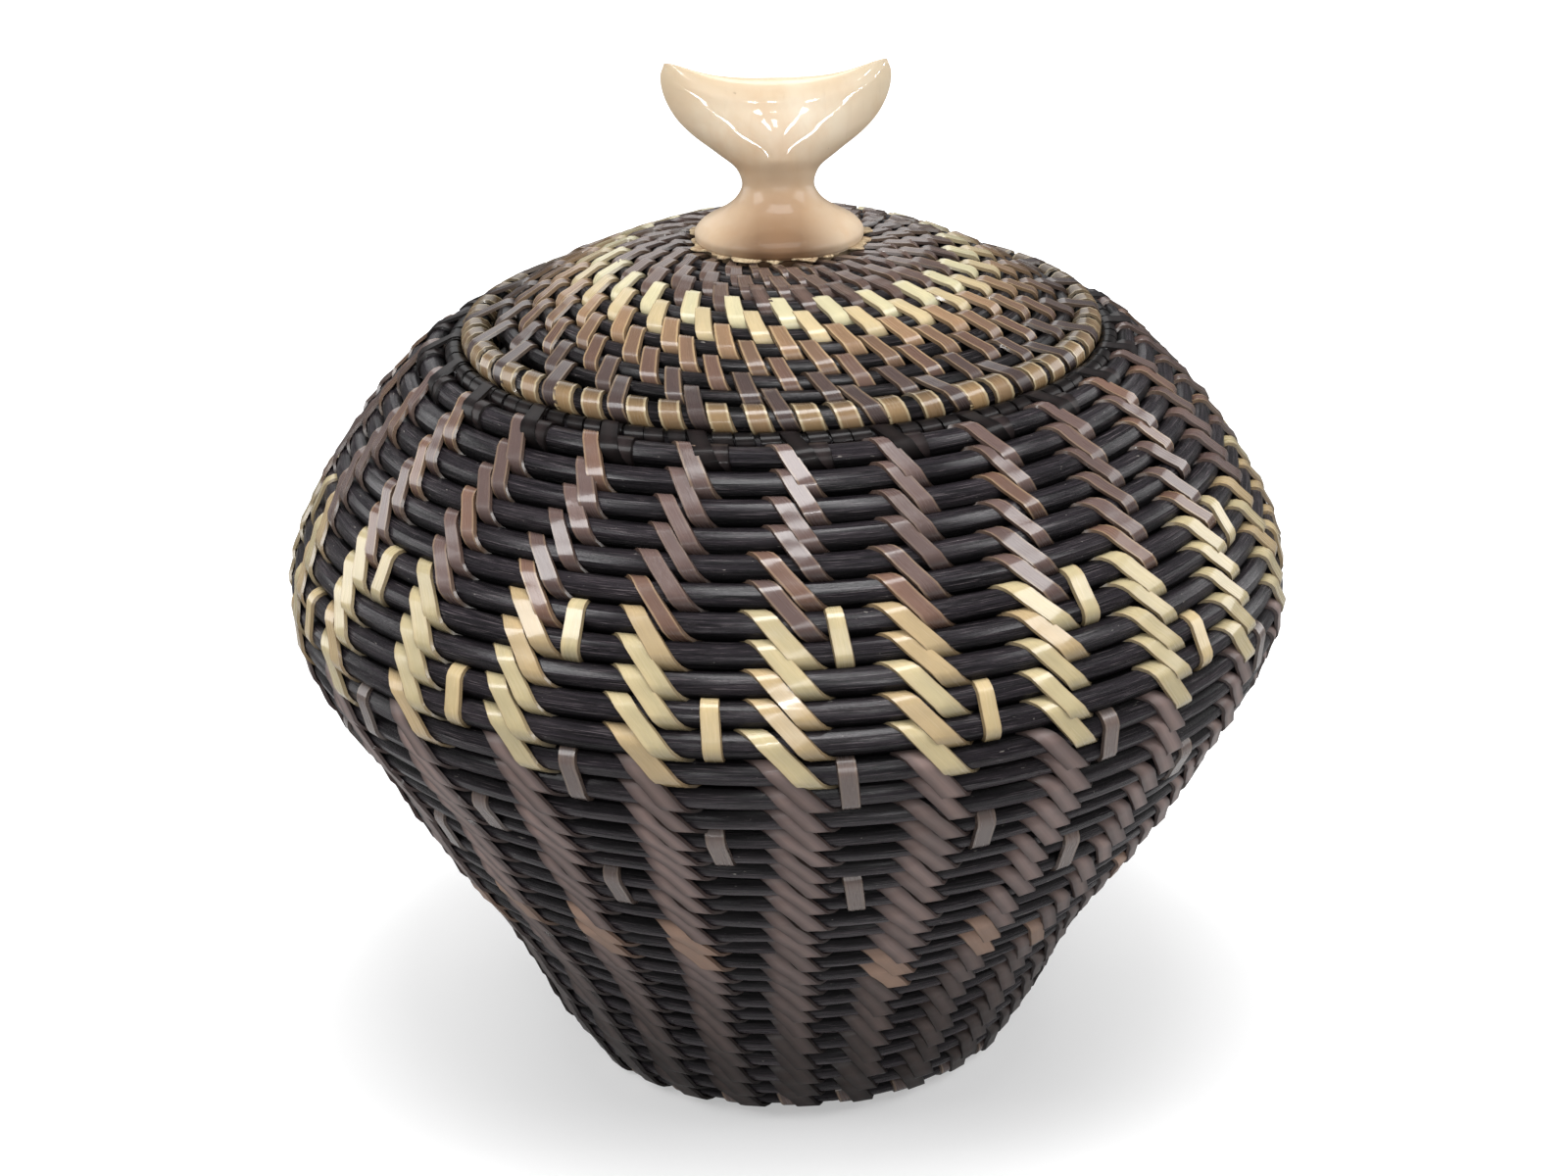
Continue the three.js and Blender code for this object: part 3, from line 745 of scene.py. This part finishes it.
# Up the wall, by the upper rod of a stitch: how far it moves along the rods for each millimetre that it
# climbs, how its ends curl, its width along the rods, how many degrees its column has strayed, and how
# light the strips of the lower wall are, as painted light: darker towards the foot, lighter higher up.
STITCH_LEAN = ([6, 14, 20, 26, 32, 34, 36], [0.50, 0.62, 0.74, 0.82, 0.82, 0.72, 0.56])
STITCH_CURL = ([6, 24, 28], [0.8, 0.9, 0.4])
STITCH_WIDTH = ([6, 20, 27, 31, 32, 33, 34], [2.6, 2.6, 2.92, 2.92, 2.68, 2.62, 2.38])
COLUMN_STRAY = (
    [8, 15, 18, 20, 24, 26, 28, 31, 33, 34, 35, 36],
    [0.0, 0.3, 0.6, 1.1, 1.5, 0.5, -0.3, -0.3, 0.0, 1.0, 1.5, 1.8],
)
LOWER_PAINTED_LIGHT = ([7, 9, 12, 15, 19, 26], [0.36, 0.5, 0.88, 1.36, 1.8, 2.05])


def wall_strips(name, lowest, highest, colours, surface):
    """The stitches of all columns whose lower rod is in courses lowest to highest. colours gives a tint and
    an edge share for each, from their upper rods and their count."""
    angle, turn, course = column_turns(wall, evenly(COLUMNS), lowest, highest)
    keep = turn + 1 < wall.turns
    angle, turn, upper = angle[keep], turn[keep], course[keep] + 1
    count = len(angle)
    radius = wall.centre(turn)[:, 0]
    stray = np.radians(np.interp(upper, *COLUMN_STRAY)) + jitter(count, 0.4) / radius
    tint, edge = colours(upper, count)
    strips = Strips()
    strips.bind(
        wall, turn + stray / TURN, angle + stray,
        slope=-np.interp(upper, *STITCH_LEAN) * jitter(count, 0.09, 1.0),
        width=np.interp(upper, *STITCH_WIDTH) * jitter(count, 0.08, 1.0),
        thickness=jitter(count, 0.05, 0.36), tint=tint, edge=edge, high=(wall, turn + 1 + stray / TURN),
        seat=-0.04, lap=0.2, dip=0.12, curl=np.interp(upper, *STITCH_CURL),
    )
    strips.piece(name, "basket", surface, wall_nodes)


def lower_colours(upper, count):
    # painted light: the lower wall's strips darker towards the foot and lighter higher up
    tint = shade_of(GREY_BROWN, count, 0.2) * np.interp(upper, *LOWER_PAINTED_LIGHT)[:, None]
    warm = (upper >= 14) & (upper <= 17) & (rng.random(count) < 0.35)
    tint[warm] = shade_of(LIGHT_BROWN, warm.sum(), 0.1)
    return tint, 0.06 * warm


def cream_colours(upper, count):
    tint = shade_of(CREAM, count, 0.07)
    warm = rng.random(count) < 0.34
    tint[warm] = shade_of(PALE_TAN, warm.sum(), 0.06)
    return tint, 0.25


def shoulder_colours(upper, count):
    tint = shade_of(MAUVE_BROWN, count, 0.13)
    warm = (rng.random(count) < 0.22) | ((upper == 32) & (rng.random(count) < 0.6))
    tint[warm] = shade_of(WARM_BROWN, warm.sum(), 0.12)
    return tint, np.clip(0.18 + 0.25 * warm + jitter(count, 0.15), 0.09, 1)


CREAM_START = 26  # the first course of cream stitches, by their lower rod
CREAM_END = 31
wall_strips("lower_wall_strips", BASE_TURNS, CREAM_START, lower_colours, lower_surface)
wall_strips("cream_belly_strips", CREAM_START, CREAM_END, cream_colours, strip_surface)
wall_strips("shoulder_strips", CREAM_END, wall.turns - 1, shoulder_colours, strip_surface)

# The spots between the columns

SPOTS = 12  # in a row
spots = Strips()
for upper, first_angle, colour, spread_share, edge_share in (
    (31, 5.4, CREAM, 0.05, 0.3),
    (28, -8.6, SPOT_CREAM, 0.05, 0.3),
    (26, 6.4, SPOT_BROWN, 0.1, 0.1),
    (23, -8.2, SPOT_BROWN, 0.1, 0.08),
    (20, 7.4, SPOT_BROWN, 0.1, 0.08),
):
    angle = evenly(SPOTS, first_angle) + np.radians(jitter(SPOTS, 0.5))
    turn = upper - 1 + share_at(angle)
    spots.bind(
        wall, turn, angle, slope=jitter(SPOTS, 0.05, -0.1), width=jitter(SPOTS, 0.18, 2.25),
        thickness=jitter(SPOTS, 0.04, 0.36), tint=shade_of(colour, SPOTS, spread_share),
        edge=edge_share, seat=-0.04, dip=0.05,
    )
spots.piece("spot_strips", "basket", strip_surface, wall_nodes)

# The mouth's wraps

mouth = Strips()
top_angles = evenly(COLUMNS, 1.9)
mouth.bind(
    wall, wall.turns - 1 + share_at(top_angles), top_angles, slope=-0.5,
    width=2.35 * jitter(COLUMNS, 0.06, 1.0), thickness=0.36, tint=shade_of(DARK_STRIP, COLUMNS, 0.15),
    high=(mouth_hoop, share_at(top_angles)), seat=-0.04, lap=0.1, curl=0.6,
)
count = COLUMNS * 4
angle = evenly(count, stagger=0.5) + jitter(count, 0.006)
mouth.bind(
    mouth_hoop, share_at(angle), angle, slope=-0.3, width=jitter(count, 0.15, 2.3), thickness=0.22,
    tint=shade_of(DARK_STRIP, count, 0.2), wrap=True,
)
angle = top_angles + np.radians(jitter(COLUMNS, 0.5, 3.1))
mouth.bind(
    wall, wall.turns - 1 + share_at(angle), angle, slope=-0.15, width=jitter(COLUMNS, 0.25, 2.5),
    thickness=0.32, tint=shade_of(TOP_STRIP, COLUMNS, 0.15), wrap=True,
)
mouth.piece("mouth_strips", "basket", mouth_surface, wall_nodes)

# The strips under the base

base = Strips()
for lowest, highest, columns, width in ((0, 2, 12, 2.1), (2, BASE_TURNS, COLUMNS, 2.3)):
    angle, turn, _ = column_turns(wall, evenly(columns), lowest, highest)
    count = len(angle)
    base.bind(
        wall, turn, angle, slope=-0.3, width=jitter(count, 0.1, width), thickness=0.3,
        tint=shade_of(GREY_BROWN, count, 0.15), edge=0.2, seat=-0.05,
    )
base.piece("base_strips", "basket", strip_surface, ["base_rod"])

# The strips on the lid

LID_STRAY = 0.2  # degrees
LAST_COURSE = 10  # the one that is bound to the hoop
lid_rows = [
    # from the middle outwards: colour, spread, edge share
    ((88, 71, 65), 0.12, 0.12),
    ((90, 73, 67), 0.12, 0.15),
    ((92, 75, 69), 0.12, 0.15),
    ((94, 77, 71), 0.12, 0.12),
    (PALEST, 0.04, 0.2),
    ((194, 177, 140), 0.07, 0.25),
    ((146, 118, 92), 0.12, 0.8),
    ((119, 95, 78), 0.12, 0.7),
    ((102, 80, 70), 0.12, 0.6),
    ((80, 67, 64), 0.12, 0.25),
    ((74, 62, 60), 0.12, 0.2),
]
lid_strips = Strips()
for course, (colour, spread_share, edge_share) in enumerate(lid_rows):
    angle = evenly(COLUMNS, LID_STRAY, (course % 2) / 2) - math.radians(1.4) * (course == LAST_COURSE)
    inner = course + share_at(angle)
    radius = dome.centre(inner)[:, 0]
    angle = angle + jitter(COLUMNS, 0.15) / radius
    width = np.minimum(2.15, radius * TURN / 2 / COLUMNS * 0.94) * jitter(COLUMNS, 0.06, 1.0)
    lid_strips.bind(
        dome, inner, angle, slope=0.38 * jitter(COLUMNS, 0.1, 1.0), width=width,
        thickness=jitter(COLUMNS, 0.04, 0.34), tint=shade_of(colour, COLUMNS, spread_share),
        edge=np.clip(edge_share + jitter(COLUMNS, 0.15), 0, 1),
        high=(lid_hoop, share_at(angle)) if course == LAST_COURSE else None, seat=-0.03, lap=0.05,
        dip=0.05, curl=0.3,
    )
lid_strips.piece("lid_top_strips", "lid", lid_surface, lid_nodes)

flange_strips = Strips()
angle, turn, _ = column_turns(flange, evenly(COLUMNS, 2.0), 0, flange.turns - 1)
keep = (turn > 0.2) & (turn < flange.turns - 1.2)
angle, turn = angle[keep], turn[keep]
count = len(angle)
flange_strips.bind(
    flange, turn, angle, slope=0.4, width=jitter(count, 0.15, 2.3), thickness=0.16,
    tint=shade_of(FLANGE_STRIP, count, 0.12), edge=0.15, seat=-0.05,
)
flange_strips.piece("lid_flange_strips", "lid", strip_surface, lid_nodes)

rim = Strips()
for shift, colour in ((4.6, (150, 124, 90)), (10.8, (144, 118, 88))):
    angle = evenly(COLUMNS, LID_STRAY + shift) + np.radians(jitter(COLUMNS, 0.25))
    rim.bind(
        lid_hoop, share_at(angle), angle, slope=-0.36, width=jitter(COLUMNS, 0.15, 2.75),
        thickness=0.34, tint=shade_of(colour, COLUMNS, 0.12), edge=0.7, wrap=True,
    )
rim.piece("lid_rim_strips", "lid", rim_surface, lid_nodes)

# The carving


def smooth_curve(table, t):
    """Cubic through the table's rows at their first number, read at t. Its slope at a row is the gradient
    over the neighbouring rows."""
    table = np.array(table, float)
    knots, values = table[:, 0], table[:, 1:]
    slopes = np.gradient(values, knots, axis=0)
    i = np.clip(np.searchsorted(knots, t, side="right") - 1, 0, len(knots) - 2)
    width = (knots[i + 1] - knots[i])[:, None]
    u = ((t - knots[i])[:, None]) / width
    h00, h10 = (1 + 2 * u) * (1 - u) ** 2, u * (1 - u) ** 2
    h01, h11 = u * u * (3 - 2 * u), u * u * (u - 1)
    return h00 * values[i] + h10 * width * slopes[i] + h01 * values[i + 1] + h11 * width * slopes[i + 1]


# Rows up the carving: place, half width, half depth, height of the middle, and how far the sides stand
# above the middle.
CARVING = [
    (0.00, 2.0, 2.0, -4.0, 0.0),
    (0.05, 2.0, 2.0, -0.05, 0.0),
    (0.08, 9.2, 9.2, 0.0, 0.0),
    (0.11, 9.9, 9.9, 0.15, 0.0),
    (0.15, 10.1, 10.1, 0.65, 0.0),
    (0.20, 10.0, 10.0, 1.35, 0.0),
    (0.25, 9.3, 9.2, 2.15, 0.0),
    (0.30, 8.0, 7.7, 2.95, 0.0),
    (0.34, 6.7, 6.2, 3.7, 0.0),
    (0.38, 5.4, 4.8, 4.7, 0.0),
    (0.42, 4.6, 3.9, 5.8, 0.0),
    (0.47, 4.3, 3.3, 7.0, 0.05),
    (0.52, 4.9, 3.2, 8.5, 0.2),
    (0.59, 7.1, 3.2, 10.1, 0.6),
    (0.67, 9.9, 3.0, 12.1, 0.9),
    (0.76, 12.0, 2.6, 14.2, 1.2),
    (0.84, 13.2, 2.1, 16.1, 1.9),
    (0.92, 13.6, 1.45, 18.0, 2.5),
    (1.00, 13.1, 0.0, 19.55, 2.7),
]
CARVING_SIDES = 72
CREST = 0.92  # the place where the flukes begin to round off to their crest
CREST_LENGTH = 0.08


def carving_mesh():
    """The tail from its peg to the edge of its flukes. At place t and angle phi round the section,
    x = width(t) cos(phi), y = depth(t) sin(phi) |sin(phi)|^k and z = height(t) + rise(t) c^3 (1 - 0.26 c^10)
    for c = |cos(phi)|. k grows up the flukes, so that they thin towards their tips, and a low ridge runs up
    their middle. The two halves of the last ring are one line, the crest."""
    sides = CARVING_SIDES
    crest = 1 - 0.03 * np.linspace(0.9, 0, 12) ** 2
    t = np.concatenate([[0, 0.02, 0.05, 0.065], np.linspace(0.08, 0.97, 94), crest])
    width, depth, height, rise = smooth_curve(CARVING, t).T
    left = np.clip((1 - t[t > CREST]) / CREST_LENGTH, 0, 1)
    depth[t > CREST] = smooth_curve(CARVING, np.array([CREST]))[0, 1] * np.sqrt(left)
    phi = np.arange(sides) * TURN / sides
    fluke = np.clip((t - 0.45) / 0.3, 0, 1)[:, None]
    thin = np.abs(np.sin(phi)) ** (0.75 * fluke)
    x = width[:, None] * np.cos(phi)
    y = depth[:, None] * np.sin(phi) * thin
    across = np.abs(np.cos(phi))
    z = height[:, None] + rise[:, None] * across**3 * (1 - 0.26 * across**10)
    ridge = np.exp(-((x / 2.2) ** 2)) * np.interp(t, [0.5, 0.6, 0.8], [0.0, 0.35, 0.0])[:, None]
    y = y + np.sign(np.sin(phi)) * ridge * np.abs(np.sin(phi))
    points = np.stack([x, y, z + TAIL_BOTTOM], -1)
    points[-1, :, 1] = 0.0
    flat = points.reshape(-1, 3)
    last = (len(t) - 1) * sides
    far = np.arange(sides // 2 + 1, sides)
    merged = np.arange(len(flat))
    merged[last + far] = last + sides - far
    faces = merged[grid_faces(len(t), sides)]
    used = np.unique(faces)
    return flat[used], np.searchsorted(used, faces).tolist() + [list(range(sides))]


def bone_finish(name, light, deep):
    """Polished bone: cloudy cream and honey patches, faint lines along it and a few dark pores. Painted
    shade darkens it low down, on the front of the carving's foot, in a band up the middle of the neck's
    front and at the crest, at heights and widths in metres."""
    shade = Shade(name)
    place = shade.place()
    clouds = shade.noise(place, (90, 90, 60), roughness=0.5)
    patches = shade.noise(place, (230, 230, 130), 4.0, 0.55)
    lines = shade.noise(place, (900, 900, 60))
    pores = shade.noise(place, (700, 700, 700), 2.0, 0.5)
    height = shade.part(place, "Z")
    sideways = shade.part(place, "X").size()
    # Masks for painted shade: low down, on the foot, in the middle, up the neck's front, at the crest and in
    # front
    low = 1.0 - height.over(0.110, 0.120)
    foot = 1.0 - height.over(0.1045, 0.1125)
    heart = 1.0 - sideways.over(0.0025, 0.008)
    neck_shadow = (1.0 - sideways.over(0.0004, 0.0034)) * (1.0 - height.over(0.1125, 0.1205))
    crest = height.over(0.1185, 0.125)
    front = 1.0 - shade.part(place, "Y").over(-0.008, 0.001)
    body = shade.paint(
        light,
        (clouds.over(0.35, 0.7), deep),
        (patches.over(0.48, 0.72) * 0.5, (216, 180, 140)),
        # painted shade: this coat and the next three, low down, on the foot's front, up the neck and at the
        # crest
        (low * (heart * 0.46 + 0.4), (172, 138, 104)),
        (foot * front * (heart * 0.8 + 0.26), (100, 74, 52)),
        (neck_shadow * front * 0.42, (136, 102, 72)),
        (crest * 0.7, (206, 184, 152)),
        (lines.over(0.6, 0.8) * 0.14, (170, 140, 108)),
        (pores.over(0.76, 0.8) * 0.5, (120, 96, 76)),
    )
    return shade.finish(
        Base_Color=body,
        Roughness=0.3 + patches * 0.12 + foot * 0.3,
        Normal=shade.bump(lines * 0.3 + patches * 0.7, 0.00002),
        Coat_Weight=0.4 - foot * 0.35,
        Coat_Roughness=0.04,
        Subsurface_Weight=0.06,
        Subsurface_Radius=(0.004, 0.0025, 0.0015),
        Subsurface_Scale=1.0,
        Specular_IOR_Level=0.25,
    )


bone = bone_finish("polished_bone", (238, 224, 200), (228, 204, 174))
make_piece("carved_tail", "lid", "bone_carving", bone, *carving_mesh(), {}, ["whale_tail"])

# The frayed collar under the carving


def collar_mesh(inner, reach, height, thickness, fray):
    """Flat flakes of split baleen in one torn ring: a thin closed band from inner outwards. Its outer edge
    wanders by sums of sine waves round the ring, cut off at one side so that they make broad lobes with
    narrow tears, and is narrower in front. It curls up and down a little as it goes."""
    count = 360
    phi = np.arange(count) * TURN / count
    edge = sum(np.sin(n * phi + p) * a for n, p, a in fray)
    edge = 1.1 * np.tanh(edge / 0.8) - 0.7 * np.exp(-(((phi - FRONT - TURN) / 0.5) ** 2))
    over = [(0.0, 0.5), (0.35, 0.5), (0.75, 0.45), (0.97, 0.3), (1.0, 0.0)]
    under = [(0.97, -0.3), (0.5, -0.5), (0.0, -0.5)]
    out_share, up_share = np.array(over + under).T
    out = inner + out_share[None, :] * (reach + edge[:, None])
    wave = 0.12 * np.sin(9 * phi + 1.0) + 0.08 * np.sin(17 * phi)
    up = height + thickness * up_share[None, :] + wave[:, None] * out_share[None, :] ** 2
    points = np.stack([out * np.cos(phi)[:, None], out * np.sin(phi)[:, None], up], -1)
    grain = [out, np.broadcast_to(out_share, out.shape), np.broadcast_to(phi[:, None] * 11, out.shape)]
    faces = grid_faces(count, len(out_share), closed_rows=True).tolist()
    return points.reshape(-1, 3), faces, {"grain": np.stack(grain, -1).reshape(-1, 3)}


def frayed_finish():
    """Torn pale fibres: cream and brown streaks outwards, rough and matt."""
    shade = Shade("frayed_collar")
    grain = shade.field("grain")
    streaks = shade.noise(grain, (0.5, 0.5, 2.6), 4.0, 0.65)
    fine = shade.noise(grain, (1.0, 1.0, 9.0))
    body = shade.paint(
        (206, 186, 150),
        (streaks.over(0.35, 0.65), (146, 116, 86)),
        (fine.over(0.5, 0.7) * 0.5, (218, 202, 168)),
    )
    normal = shade.bump(streaks * 0.6 + fine * 0.6, 0.0003)
    return shade.finish(Base_Color=body, Roughness=0.75, Normal=normal)


# Waves round the ring, and how far each moves the edge
FRAY = ((3, 0.35), (8, 0.45), (17, 0.4), (29, 0.25), (61, 0.12))
fray_waves = [(n, rng.uniform(0, TURN), a) for n, a in FRAY]
collar = collar_mesh(8.9, 1.8, TAIL_BOTTOM + 0.05, 0.34, fray_waves)
make_piece("frayed_collar", "lid", "pale_binding", frayed_finish(), *collar, ["tail_collar"], sharp=60)

# The starter discs keep their CAD shape

disc_finish = bone_finish("starter_bone", (226, 208, 178), (206, 182, 150))
for node in ("base_starter_disc", "lid_starter_disc"):
    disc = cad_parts[node]
    disc.data.materials.clear()
    disc.data.materials.append(disc_finish)

# Floor, light and camera


def floor_finish():
    """White floor that shows the basket's shadow: matt grey paper, darker away from the basket, and for the
    camera a glow that brings it up to white and grows away from the basket; being weaker near the basket,
    the glow paints a darker shadow round it."""
    shade = Shade("white_floor")
    away = shade.node("VectorMath", {"operation": "LENGTH"}, {0: shade.place()}, "Value")
    paper = shade.mix(away.over(0.09, 0.28), [0.56] * 3, [0.14] * 3)
    # painted shadow: the glow is weakest near the basket, which darkens the floor round it
    glow = 0.36 + away.over(0.03, 0.075) * 0.29 + away.over(0.06, 0.28) * 0.77
    seen = shade.node("LightPath", output="Is Camera Ray")
    return shade.finish(
        Base_Color=paper,
        Roughness=0.9,
        Specular_IOR_Level=0.0,
        Emission_Color=seen * glow,
        Emission_Strength=1.0,
    )


floor_mesh = bpy.data.meshes.new("floor")
floor_mesh.from_pydata([(-6, -6, 0), (6, -6, 0), (6, 6, 0), (-6, 6, 0)], [], [(0, 1, 2, 3)])
floor_mesh.materials.append(floor_finish())
add_object("floor", floor_mesh)


# An even pale sky for light, and a pale backdrop where the camera sees past the floor
studio = Shade("studio", "worlds")
sky = studio.set("Background", Color=(0.97, 0.98, 1.0), Strength=0.16)
backdrop = studio.node("Background", {}, {"Strength": 1.0})
seen = studio.node("LightPath", output="Is Camera Ray")
both = studio.node("MixShader", {}, {0: seen, 1: Value(studio, sky.outputs[0]), 2: backdrop})
studio.set("World Output", Surface=both)
bpy.context.scene.world = studio.owner


def soft_lamp(name, place, aim_height, width, height, power):
    """A rectangular soft lamp at a place, facing a point on the basket's axis."""
    light = bpy.data.lights.new(name, "AREA")
    light.shape = "RECTANGLE"
    light.size = width
    light.size_y = height
    light.energy = power
    lamp = add_object(name, light)
    lamp.location = place
    aim = Vector((0, 0, aim_height)) - Vector(place)
    lamp.rotation_euler = aim.to_track_quat("-Z", "Y").to_euler()


# Name, place, height that it faces, width and height in metres, and watts
for lamp in (
    ("overhead_softbox", (0.02, -0.16, 0.68), 0.05, 0.36, 0.28, 2.7),
    ("left_softbox", (-0.48, -0.24, 0.52), 0.06, 0.28, 0.28, 1.9),
    ("right_softbox", (0.50, -0.22, 0.48), 0.06, 0.28, 0.28, 1.6),
    ("back_softbox", (-0.10, 0.80, 0.50), 0.06, 0.6, 0.5, 0.9),
    ("left_card", (-0.62, 0.24, 0.22), 0.07, 0.5, 0.36, 1.3),
    ("right_card", (0.62, 0.22, 0.22), 0.07, 0.5, 0.36, 1.4),
    ("front_softbox", (0.10, -0.85, 0.36), 0.06, 0.6, 0.4, 1.3),
):
    soft_lamp(*lamp)
# Small lamps whose reflections are the glints on the flukes
for side, height in ((-0.209, 0.124), (-0.06, 0.31), (-0.01, 0.334), (0.085, 0.288), (0.198, 0.141)):
    soft_lamp("glint_lamp", (side, -0.60, height), 0.118, 0.02, 0.02, 0.12)

# The photograph's camera looks down at a point on the basket's axis, and is rolled a little
PHOTO_WIDTH = 1600  # pixels
FOCAL_LENGTH = 3709  # pixels
SENSOR = 36
ELEVATION = 0.372016  # 21.3 degrees
DISTANCE = 0.4510
AIM = Vector((0, 0, 0.05934))
ROLL = math.radians(-1.25)
camera = bpy.data.cameras.new("photo_camera")
camera.sensor_fit = "HORIZONTAL"
camera.sensor_width = SENSOR
camera.lens = FOCAL_LENGTH / PHOTO_WIDTH * SENSOR
camera.shift_x = -3 / PHOTO_WIDTH
camera.clip_start = 0.01
camera.clip_end = 50
viewer = add_object("photo_camera", camera)
level, rise = math.cos(ELEVATION), math.sin(ELEVATION)
place = Matrix.Translation(AIM + Vector((0, -level, rise)) * DISTANCE)
facing = Matrix(((1, 0, 0), (0, rise, -level), (0, level, rise))).to_4x4()
viewer.matrix_world = place @ facing @ Matrix.Rotation(ROLL, 4, "Z")
bpy.context.scene.camera = viewer
bpy.context.scene.view_settings.view_transform = "Standard"
